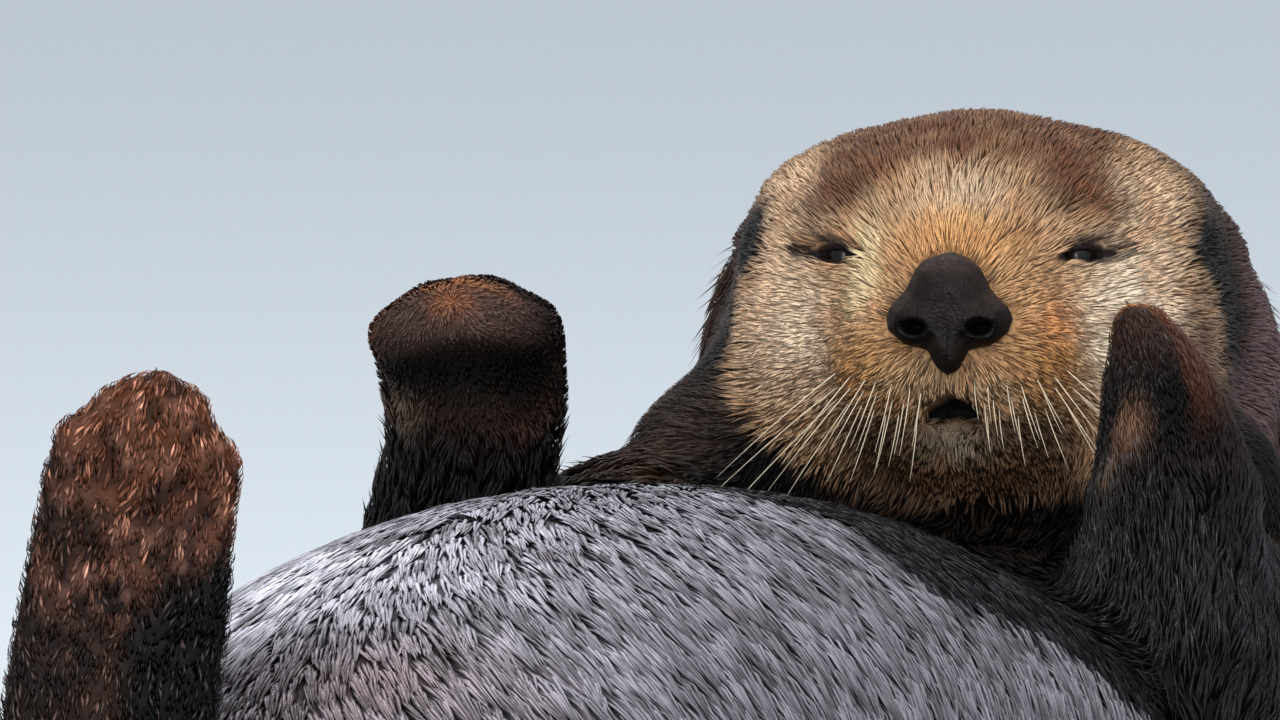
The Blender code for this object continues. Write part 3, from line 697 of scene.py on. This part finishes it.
def paint_trunk(skin, colour):
    """Brown back; grey belly, partly painted sheen where it faces up; black chest, partly painted shade
    under the chin; black throat; and the belly's painted sheen and its other light and dark places.
    """
    points, normals = skin.surface.points, skin.surface.normals
    x, y, z = (points / MM).T
    trunk = skin.near(6, "chest", "belly", "hips")
    # faces that look up: the grey there is partly painted sheen of wet fur, and those that look down
    # get the back's brown
    up = smoothstep(-0.35, 0.5, normals[:, 2])
    flank = np.abs(x)
    # how far ahead of the grey's front edge, which runs back on the left and forward at the flanks
    edge = y - 18 + 30 * smoothstep(40, 72, x) - 100 * smoothstep(88, 130, flank)
    edge += 16 * mottle(points, 22) * smoothstep(60, 140, flank)
    soft = 26 * smoothstep(100, 160, flank)
    # brown where faces look down, grey with painted sheen where they look up, and the chest black ahead
    # of the edge, partly painted shade under the chin
    blend(colour, trunk,
          ((54, 44, 42), (1 - up) * 0.85),
          ((128, 124, 133), up * (1 - smoothstep(-10, 8, edge)) * 0.9),
          ((10, 9, 12), smoothstep(-8 - soft, 10 + soft, edge)))
    # painted shade: the throat black under the chin
    throat = skin.near(6, "neck") * smoothstep(-0.2, 0.5, -normals[:, 1])
    blend(colour, throat, ((3, 3, 3), 1 - smoothstep(232, 252, z)))
    sideways = combed(points, normals)
    slits = mottle(np.stack((x + sideways * y, y, z), axis=1) * MM, 5.5, (1, 4.5, 3))
    blend(colour, trunk * up,
          # painted sheen: a broad light patch on the belly's left
          ((220, 218, 228), bell((x + 85) / 75, (y + 150) / 70) * 0.82),
          ((94, 90, 97), smoothstep(10, 110, x) * (edge < 10) * 0.75),
          ((120, 98, 98), bell((x + 20) / 50, (y + 262) / 46) * 0.8),
          ((52, 45, 46), smoothstep(0.42, 0.62, slits) * (edge < 0) * 0.85))


def paint_limbs(skin, colour):
    for side in SIDES:
        paint_paw(skin, colour, side)
        paint_foot(skin, colour, side)
    points = skin.surface.points / MM
    paint_marks(colour, LIMB_MARKS, points, 1)
    x, _, z = points.T
    shadow = smoothstep(0, 14, 303 - 0.8 * (14 - x) - z) * smoothstep(-26, -16, x)
    blend(colour, skin.of("hind_foot_right", "shank_right"),
          ((14, 9, 8), smoothstep(0, 34, -x - 30 + 0.12 * (330 - z)) * 0.7),
          ((20, 15, 13), (1 - smoothstep(250, 292, z)) * 0.75),
          ((2, 2, 2), shadow))


def paint_paw(skin, colour, side):
    """A black palm, partly its dark pads and partly painted shade under the curled fingers, with a
    lighter end, and a brown back; the right wrist is brown too.
    """
    right = side == "right"
    along = along_limb("finger", side, skin.surface.points)
    front, outer = -skin.surface.normals[:, 1], skin.surface.normals[:, 0] * SIDES[side]
    palm = smoothstep(-0.1, 0.5, front)
    blend(colour, skin.near(2, "forepaw_" + side),
          # painted shade with the pads' own dark: the black band across the palm
          ((3, 2, 3), bell(((along - 0.22) / 0.40) ** 2) * palm),
          ((100, 77, 70) if right else (60, 40, 33), smoothstep(0.54, 1.0, along) * 0.85),
          ((176, 112, 66), smoothstep(0.72, 1.05, along) * (1 - palm)),
          ((176, 108, 62), smoothstep(1.02, 1.2, along) * 0.6 * right),
          ((92, 60, 48), bell((along + 0.42) / 0.26) * palm * 0.9 * right))
    start = 0.2 if right else -0.05
    back = smoothstep(start, start + 0.5, outer - 0.3 * front)
    blend(colour, skin.of("forepaw_" + side, "forearm_" + side) * back,
          ((84, 48, 35), smoothstep(-0.2, 0.5, along) * 0.85))


def paint_foot(skin, colour, side):
    """Brown in patches with light flecks painted as wet glints, redder at the toes and dark at the heel
    and at its right.
    """
    points = skin.surface.points
    along = along_limb("toe", side, points)
    patches = mottle(points, 9)
    blend(colour, skin.near(2, "hind_foot_" + side),
          ((112, 64, 38), smoothstep(0.4, 1.1, along + 0.3 * patches) * 0.75),
          ((108, 70, 54), smoothstep(-0.2, 0.8, patches) * 0.7),
          ((20, 12, 9), smoothstep(0.1, 1.0, -patches) * 0.7),
          # painted glints: light flecks, as highlights on wet fur
          ((176, 124, 104), smoothstep(0.35, 0.8, mottle(points, 5)) * 0.45),
          ((34, 26, 23), (1 - smoothstep(-0.9, -0.4, along)) * 0.8),
          ((28, 22, 21), smoothstep(0.3, 0.9, -skin.surface.normals[:, 0]) * 0.7))


def along_limb(digit, side, points):
    """How far along a paw or foot each point is: 0 at its middle, 1 at the claws."""
    middle = centre(LIMBS[digit][-1] + side)
    axis = claws_middle(digit, side) - middle
    return (points - middle) @ axis / (axis @ axis)


# -------- coat
RISE = np.array((0.0, 0.75, 0.95))      # of a tuft's height that its root, its ring and its tip have
TAPER = np.array((0.75, 0.88))          # of a tuft's width at its root and ring
SHARE = np.repeat((0, 0.5, 1), (3, 3, 1))       # how far along a tuft each of its seven points is
ACROSS = np.array((0, 0.5, 1, 0, 0.5, 1, 0.5))  # and how far across
QUADS = np.array([(i, (i + 1) % 3, 3 + (i + 1) % 3, 3 + i) for i in range(3)])
CAPS = np.array([(0, 2, 1), (3, 4, 6), (4, 5, 6), (5, 3, 6)])
# the light that painted glints add to a tuft's colour
PAINTED_GLINT_LIGHT = (0.016, 0.012, 0.011)
PATCH = 0.003                           # a tuft's patch on the unwrap
MARGIN = 0.02                           # round each of the unwrap's charts


class Region(NamedTuple):
    """A piece of the coat, and how its tufts are."""
    name: str
    parts: tuple
    faces: object       # which of the parts' faces, or True for all
    material: object
    slot: str
    share: float        # of the tufts that the parts' coats say
    # tone is painted shade: how light a tuft's colour is at its root, deep in the coat
    tone: float         # of a tuft's colour at its root
    stray: float        # of a tuft's heading, in radians
    # painted highlights: how much lighter a few tufts are made, as glints on wet fur
    glints: float = 0   # how much lighter a few tufts are


class Coating:
    """Makes the tufts of one region of the skin after another."""

    def __init__(self, skin, seed):
        self.skin, self.surface = skin, skin.surface
        self.tree = BVHTree.FromPolygons(self.surface.points.tolist(), self.surface.triangles.tolist())
        self.rng = np.random.default_rng(seed)

    def roots(self, faces, share):
        """Random places over the faces, as a face and three weights each, as dense as the coat says."""
        triangles = self.surface.triangles[faces]
        density = self.skin.coat[triangles, 3].mean(axis=1) * 1e4 * share
        down = -self.surface.normals[triangles[:, 0], 2]
        density *= 1 - 0.5 * smoothstep(0.3, 0.8, down)      # fewer where the otter lies on them
        expected = np.cumsum(self.surface.areas()[faces] * density)
        count = int(expected[-1])
        spaced = (np.arange(count) + self.rng.random(count)) * expected[-1] / count
        chosen = faces[np.minimum(np.searchsorted(expected, spaced), len(faces) - 1)]
        a, b = self.rng.random((2, count))
        flip = a + b > 1
        a, b = np.where(flip, 1 - a, a), np.where(flip, 1 - b, b)
        return chosen, np.stack((1 - a - b, a, b), axis=1)

    def at(self, values, chosen, weights):
        return (values[self.surface.triangles[chosen]] * weights[..., None]).sum(axis=1)

    def trace(self, chosen, weights, length, turn):
        """Each tuft's way along the skin: places and normals at its root, ring and tip."""
        place = self.at(self.surface.points, chosen, weights)
        normal = unit(self.at(self.surface.normals, chosen, weights))
        flow = unit(self.at(self.skin.flow, chosen, weights))
        cos, sin = np.cos(turn)[:, None], np.sin(turn)[:, None]
        places, normals = [place], [normal]
        for _ in range(2):
            heading = unit(flow * cos + np.cross(normal, flow) * sin)
            wanted = place + heading * (length / 2)[:, None]
            found = [self.tree.find_nearest(p)[::2] for p in wanted]
            place = np.array([f[0] for f in found])
            corners = self.surface.triangles[[f[1] for f in found]]
            normal = unit(self.surface.normals[corners].mean(axis=1))
            flow = along_surface(self.skin.flow[corners].mean(axis=1), normal)
            places.append(place)
            normals.append(normal)
        return np.stack(places), np.stack(normals)

    def tufts(self, region, faces):
        """The region's tufts, drawn together in wet points and tinted one by one, with painted shade at
        their roots and a few painted glints.
        """
        chosen, weights = self.roots(faces, region.share * DENSITY)
        rng, count = self.rng, len(chosen)
        depth, length, width, _, clump, draw = self.at(self.skin.coat, chosen, weights).T
        length = length * MM * rng.uniform(0.65, 1.3, count)
        turn = rng.normal(0, 1, count) * region.stray
        places, normals = self.trace(chosen, weights, length, turn)
        height = depth * MM * rng.uniform(0.6, 1.02, count)
        line = places + normals * (RISE[:, None] * height)[..., None]
        line[0] -= normals[0] * 0.6 * MM
        leader = self.leaders(places[0], clump, self.surface.areas()[faces].sum())
        pull = draw[:, None] * np.array((0, 0.5, 1))[:, None, None] ** 1.4
        line = line + (line[:, leader] - line) * pull * 0.9
        lifted = (rng.random(count) < 0.12) * (draw > 0.61)
        line[-1] += normals[-1] * (0.55 * depth * MM * lifted)[:, None]
        shade = 1 + 0.09 * rng.normal(size=count)
        lock, dark = rng.random((2, count))[:, leader]
        lock = 1 + (lock - 0.5 - 0.7 * (dark < 0.15)) * np.interp(draw, (0.3, 0.6), (0.10, 0.55))
        colour = self.at(self.skin.colour, chosen, weights) * (shade * lock)[:, None]
        # painted glints: a few tufts made lighter, as highlights on wet fur
        glint = region.glints * rng.random(count) * (rng.random(count) < 0.22)
        colour = colour * (1 + 0.7 * glint)[:, None] + np.outer(glint, PAINTED_GLINT_LIGHT)
        width = width * MM * rng.uniform(0.7, 1.25, count)
        line[..., 2] = np.maximum(line[..., 2], 0.3 * MM + width / 2)
        kept = ~crosses_opening(line)
        points, faces = blades(line[:, kept], normals[:, kept], width[kept])
        # painted shade and light: each tuft darker at its root, deep in the coat, and lighter at its
        # tip
        tone = np.interp(SHARE, (0, 0.33, 1), (region.tone, mix(region.tone, 1, 0.8), 1.15))
        colours = (colour[kept, None] * tone[None, :, None]).reshape(-1, 3)
        return points, faces, colours, chosen[kept], weights[kept]

    def leaders(self, roots, clump, area):
        """For each tuft, the one that its wet point is drawn to: the nearest of a thinner set."""
        spacing = np.maximum(clump, 2) * MM
        number = max(int(area / np.mean(spacing**2)), 4)
        chosen = self.rng.permutation(len(roots))[:number]
        tree = KDTree(len(chosen))
        for i, index in enumerate(chosen):
            tree.insert(roots[index], i)
        tree.balance()
        return chosen[[tree.find(r)[1] for r in roots]]


def crosses_opening(line):
    """Which tufts would hang over the slit between the lids or the lips' parting."""
    crossing = np.zeros(line.shape[1], bool)
    for points in (*line[1:], (line[0] + line[1]) / 2, (line[1] + line[2]) / 2):
        for place in EYES.values():
            x, y, z = place.local(points).T
            crossing |= (slit(x, z) > -0.4) & (y > 0) & (np.hypot(x, z) < 11)
        side, ahead, above = HEAD.local(points).T
        crossing |= (mouth(np.abs(side), above) > 1.0) & (ahead > 52)
    return crossing


def blades(line, normals, width):
    """A blade along each line: three points round its root, three round its ring, and its tip."""
    tangent = unit(np.gradient(line, axis=0))
    across = unit(np.cross(tangent, normals))
    above = np.cross(across, tangent)
    half = TAPER[:, None, None] * width[None, :, None] / 2
    across, above = across[:2] * half, above[:2] * half * 0.5
    body = np.stack((line[:2] + across, line[:2] + above, line[:2] - across), axis=1)
    count = len(width)
    points = np.concatenate((body.reshape(6, count, 3), line[-1:])).transpose(1, 0, 2).reshape(-1, 3)
    start = np.arange(count)[:, None, None] * len(SHARE)
    return points, [(start + QUADS).reshape(-1, 4), (start + CAPS).reshape(-1, 3)]


def unwrap(surface, faces, chosen, roots):
    """Where each root lies on an unwrap of these faces: six charts, by the way that the faces look."""
    crosses = surface.crosses()
    way = np.abs(crosses).argmax(axis=1)
    chart = way * 2 + (np.take_along_axis(crosses, way[:, None], 1)[:, 0] > 0)
    middles = surface.middles()[faces]
    place = np.zeros((len(chosen), 2))
    for number in range(6):
        here, shown = chart[chosen] == number, chart[faces] == number
        if here.any():
            axes = [axis for axis in range(3) if axis != number // 2]
            low, high = middles[shown][:, axes].min(axis=0), middles[shown][:, axes].max(axis=0)
            scaled = (roots[here][:, axes] - low) / np.maximum(high - low, 1e-6)
            cell = np.array((number % 3, number // 3)) / (3, 2)
            room = np.array((1 / 3, 1 / 2)) - 2 * MARGIN
            place[here] = cell + MARGIN + np.clip(scaled, 0, 1) * room
    return place


def make_coat_piece(coating, region, wanted):
    surface = coating.surface
    points, faces, colours, chosen, weights = coating.tufts(region, wanted)
    made = new_mesh_object("coat_" + region.name, points, faces)
    paint(made, colours)
    root = unwrap(surface, wanted, chosen, coating.at(surface.points, chosen, weights))
    patch = np.stack((ACROSS, SHARE), axis=1) - 0.5
    spot = (root[:, None] + patch[None] * PATCH).reshape(-1, 2)
    corners = np.concatenate([f.ravel() for f in faces])
    layer = made.data.uv_layers.new(name="OFBake")
    layer.uv.foreach_set("vector", spot[corners].astype(np.float32).ravel())
    made.data.materials.append(region.material)
    triangles = 2 * len(faces[0]) + len(faces[1])
    print("coat", region.name, len(chosen), "tufts", triangles, "triangles")
    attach(made, "root")


def make_coat(skin):
    """The coat in pieces, each of one region."""
    coating = Coating(skin, 7)
    first = skin.surface.triangles[:, 0]
    local, points = skin.local[first], skin.surface.points[first]
    dry = fur_shader("fur_dry", 0.62, 0.25, 0.16)
    wet = fur_shader("fur_wet", 0.32, 0.14, 0.14)
    sleek = fur_shader("fur_sleek", 0.36, 0.5, 0.10)
    drenched = fur_shader("fur_drenched", 0.18, 0.14, 0.2)
    ruff = fur_shader("fur_ruff", 0.55, 0.1, 0.16)
    bare = skin.of("nose")[first]
    for place in EYES.values():
        x, _, z = place.local(points).T
        bare |= (slit(x, z) > -1.6) & (np.hypot(x, z) < 10)
    bare |= (mouth(np.abs(local[:, 0]), local[:, 2]) > -0.6) & (local[:, 1] > 52)
    black, left = skin.colour[first].sum(axis=1) < 0.045, points[:, 0] > 0
    face, front = local[:, 1] > 42, local[:, 1] > 66
    head, trunk = ("head", "jaw", "eye"), ("chest", "belly")
    regions = [
        Region("muzzle", head, front, dry, "fur_face", 1.7, 0.86, 0.10),
        Region("face", head, face & ~front, dry, "fur_face", 1.3, 0.84, 0.10),
        Region("head", head, ~face, dry, "fur_face", 0.7, 0.6, 0.13),
        Region("neck", ("neck", "ear"), True, ruff, "fur_neck", 0.95, 0.5, 0.16),
        Region("chest", trunk, black, wet, "fur_chest", 0.9, 0.45, 0.08),
        Region("belly_left", trunk, left & ~black, sleek, "fur_belly", 0.68, 0.75, 0.03),
        Region("belly_right", trunk, ~left & ~black, sleek, "fur_belly", 0.68, 0.75, 0.03),
        Region("hips", ("hips",), True, sleek, "fur_hips", 0.8, 0.75, 0.03),
        Region("tail", ("tail_root", "tail_tip"), True, drenched, "fur_tail", 1.0, 0.45, 0.10),
    ]
    for side in SIDES:
        arm, leg = ([name + side for name in names] for names in LIMBS.values())
        regions.append(Region("arm_" + side, arm, True, wet, "fur_arm", 1.0, 0.5, 0.12))
        regions.append(Region("leg_" + side, leg, True, drenched, "fur_leg", 0.85, 0.45, 0.22, 3.0))
    for region in regions:
        wanted = skin.of(*region.parts)[first] & ~bare & region.faces
        make_coat_piece(coating, region, np.flatnonzero(wanted))
    return coating.tree


# -------- eyes, nose, claws and whiskers
def rounded(nodes, step, rounds):
    """The nodes' solids as one smooth fine surface."""
    points, triangles, _ = soup(nodes)
    return meshed(points, triangles, step).relaxed(rounds)


def plain_piece(name, surface, colours, material, nodes):
    made = new_mesh_object(name, surface.points, [surface.triangles])
    paint(made, colours)
    made.data.materials.append(material)
    if nodes:
        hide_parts(*nodes)
    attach(made, "root")


def make_eyes():
    shader = plain_shader("eye_gloss", 0.22, 0.22, (1800, 3, 0.75, 1.25), (700, 2, 0.18, 0.28))
    shader.surface.inputs["Coat Weight"].default_value = 0.1
    shader.bump(shader.noise(900, 2), 0.00005, 0.2)
    for name, place in EYES.items():
        ball = rounded(["eye_" + name], 0.7 * MM, 6)
        x, y, z = place.local(ball.points).T
        out = np.hypot(x, z)
        cornea = 0.35 * (1 - smoothstep(2, 5, out)) * (y > 0)
        ball.points = place.world(np.stack((x, y + cornea, z), axis=1))
        pupil, iris, white = linear(6, 5, 5), linear(22, 15, 12), linear(12, 9, 9)
        shade = mix(pupil, iris, smoothstep(1.8, 2.3, out)[:, None])
        shade = mix(shade, white, smoothstep(4.6, 5.4, out)[:, None])
        plain_piece("eyeball_" + name, ball, shade, shader.made, ["eye_" + name])


def pebbled_shader(name, roughness, specular, cell, depth):
    """Bare skin or horn with small cells."""
    gloss = (400, 3, roughness * 0.8, roughness * 1.25)
    shader = plain_shader(name, roughness, specular, (260, 4, 0.7, 1.3), gloss)
    return shader.bump(shader.pattern("ShaderNodeTexVoronoi", "Distance", Scale=cell), depth, 0.6).made


def make_nose():
    """The pad, with its nostrils drawn together and hollowed, and the groove below them; painted shade
    darkens the nostrils and the groove, and the pad is painted lighter where it faces up.
    """
    pad = rounded(["nose"], 0.9 * MM, 5)
    local = HEAD.local(pad.points)
    inward = bell((np.abs(local[:, 0]) - 13) / 7.5, (local[:, 2] + 8) / 9) * (local[:, 1] > 78)
    local[:, 0] -= np.sign(local[:, 0]) * 3.6 * inward
    hollow = blob(one_sided(local), (10.9, 95, -7.4), (3.4, 10, 2.3), 2)
    dark = blob(one_sided(local), (11.5, 92, -8.6), (8.5, 12, 4.6))
    groove = bell(local[:, 0]) * (1 - smoothstep(-12, -2, local[:, 2])) * (local[:, 1] > 80)
    local[:, 1] -= 6.0 * hollow + 0.9 * groove
    pad.points = HEAD.world(local)
    # painted light: the pad lighter where it faces up
    facing = pad.find_normals() @ HEAD.direction(0, 0, 1)
    shade = mix(linear(22, 15, 12), linear(44, 33, 28), smoothstep(0.1, 0.9, facing)[:, None])
    # painted shade: the nostrils and the groove darker
    blend(shade, 1, ((2, 1, 1), dark * 1.3), ((18, 14, 14), groove * 0.8))
    material = pebbled_shader("nose_skin", 0.55, 0.14, 900, 0.0004)
    plain_piece("nose_pad", pad, shade, material, ["nose"])


def make_claws():
    """The claws, drawn in so that only their ends show."""
    material = pebbled_shader("claw_horn", 0.35, 0.45, 300, 0.0001)
    for digit, drawn in (("finger", 0.42), ("toe", 0.6)):
        for side in SIDES:
            nodes = claws(digit, side)
            horn = rounded(nodes, 0.4 * MM, 4)
            middles = np.array([centre(node) for node in nodes])
            claw = np.linalg.norm(horn.points[:, None] - middles[None], axis=2).argmin(axis=1)
            root = middles + unit(centre(LIMBS[digit][-1] + side) - middles) * 4 * MM
            horn.points = mix(horn.points, root[claw], drawn)
            far = np.linalg.norm(horn.points - root[claw], axis=1)
            shade = mix(linear(66, 50, 42), linear(28, 21, 19), smoothstep(0, 5 * MM, far)[:, None])
            plain_piece(f"{digit}_claws_{side}", horn, shade, material, nodes)


def hair(line, radii, sides=6):
    """A tapered round hair along line: its points and quads."""
    tangent = unit(np.gradient(line, axis=0))
    across = unit(np.cross(tangent, (0.13, 0.21, 0.97)))
    above = np.cross(across, tangent)
    turn = np.arange(sides) * (2 * math.pi / sides)
    rim = across[:, None] * np.cos(turn)[None, :, None] + above[:, None] * np.sin(turn)[None, :, None]
    low = (np.arange(len(line) - 1) * sides)[:, None]
    i = np.arange(sides)
    following = (i + 1) % sides
    corners = np.stack((low + i, low + following, low + sides + following, low + sides + i), axis=-1)
    return (line[:, None] + rim * radii[:, None, None]).reshape(-1, 3), corners.reshape(-1, 4)


WHISKER_ROWS, WHISKER_COLUMNS = 3, 7


def make_whiskers(tree):
    """Long stiff white hairs from both whisker pads, fanning down and out."""
    rng = np.random.default_rng(11)
    shader = plain_shader("whisker_horn", 0.4, 0.5, (300, 2, 0.85, 1.1), (500, 2, 0.3, 0.5))
    shader.bump(shader.noise(900, 2), 0.00005, 0.3)
    t = np.linspace(0, 1, 9)
    radii = np.interp(t, (0, 0.6, 1), (0.21, 0.17, 0.05)) * MM
    for name, sign in SIDES.items():
        points, quads = [], []
        reach = 0.8 if name == "left" else 1.0
        bend = HEAD.direction(sign * 0.10, -0.16, -0.16)
        for row, column in np.ndindex(WHISKER_ROWS, WHISKER_COLUMNS):
            side = 9.5 + 4.7 * column + 1.6 * row + rng.uniform(-1, 1)
            above = -26 - 5.0 * row + 0.9 * column + rng.uniform(-1, 1)
            start = HEAD.world((sign * side, 110, above))
            root = tree.ray_cast(Vector(start), Vector(HEAD.direction(0, -1, 0)))[0]
            fan = 2 + 1.25 * column**2 + 3 * (2 - row) * (column > 2)
            angle = math.radians(fan + rng.uniform(-3, 3))
            way = unit(HEAD.direction(sign * math.sin(angle), 0.42, -math.cos(angle)))
            length = 20 + 1.5 * column + 12 * max(column - 4, 0) + rng.uniform(-4, 5)
            line = np.outer(t, way) + np.outer(t**2, bend)
            line = np.array(root) - way * MM + line * (length * reach * MM)
            made, corners = hair(line, radii)
            quads.append(corners + sum(map(len, points)))
            points.append(made)
        surface = Surface(np.concatenate(points), halved(np.concatenate(quads)))
        shade = np.tile(linear(216, 200, 172), (len(surface.points), 1))
        plain_piece("whiskers_" + name, surface, shade, shader.made, [])


def make_skin(skin):
    """The skin itself, darker than the coat over it as painted shade deep in the fur, most of all under
    long fur.
    """
    surface = skin.surface
    print("skin points", len(surface.points), "triangles", len(surface.triangles))
    face = smoothstep(20, 50, skin.local[:, 1]) * skin.of(*HEAD_PARTS)
    # painted shade: the skin darker than the coat, less so on the belly and the face
    tone = mix(mix(0.5, 0.7, skin.near(6, "belly", "hips")), 0.82, face)
    material = fur_shader("fur_under", 0.7, 0.12, 0.2)
    plain_piece("skin", surface, skin.colour * tone[:, None], material, FLESH)


def main():
    make_camera()
    make_studio()
    skin = Skin()
    make_skin(skin)
    tree = make_coat(skin)
    make_eyes()
    make_nose()
    make_claws()
    make_whiskers(tree)


main()
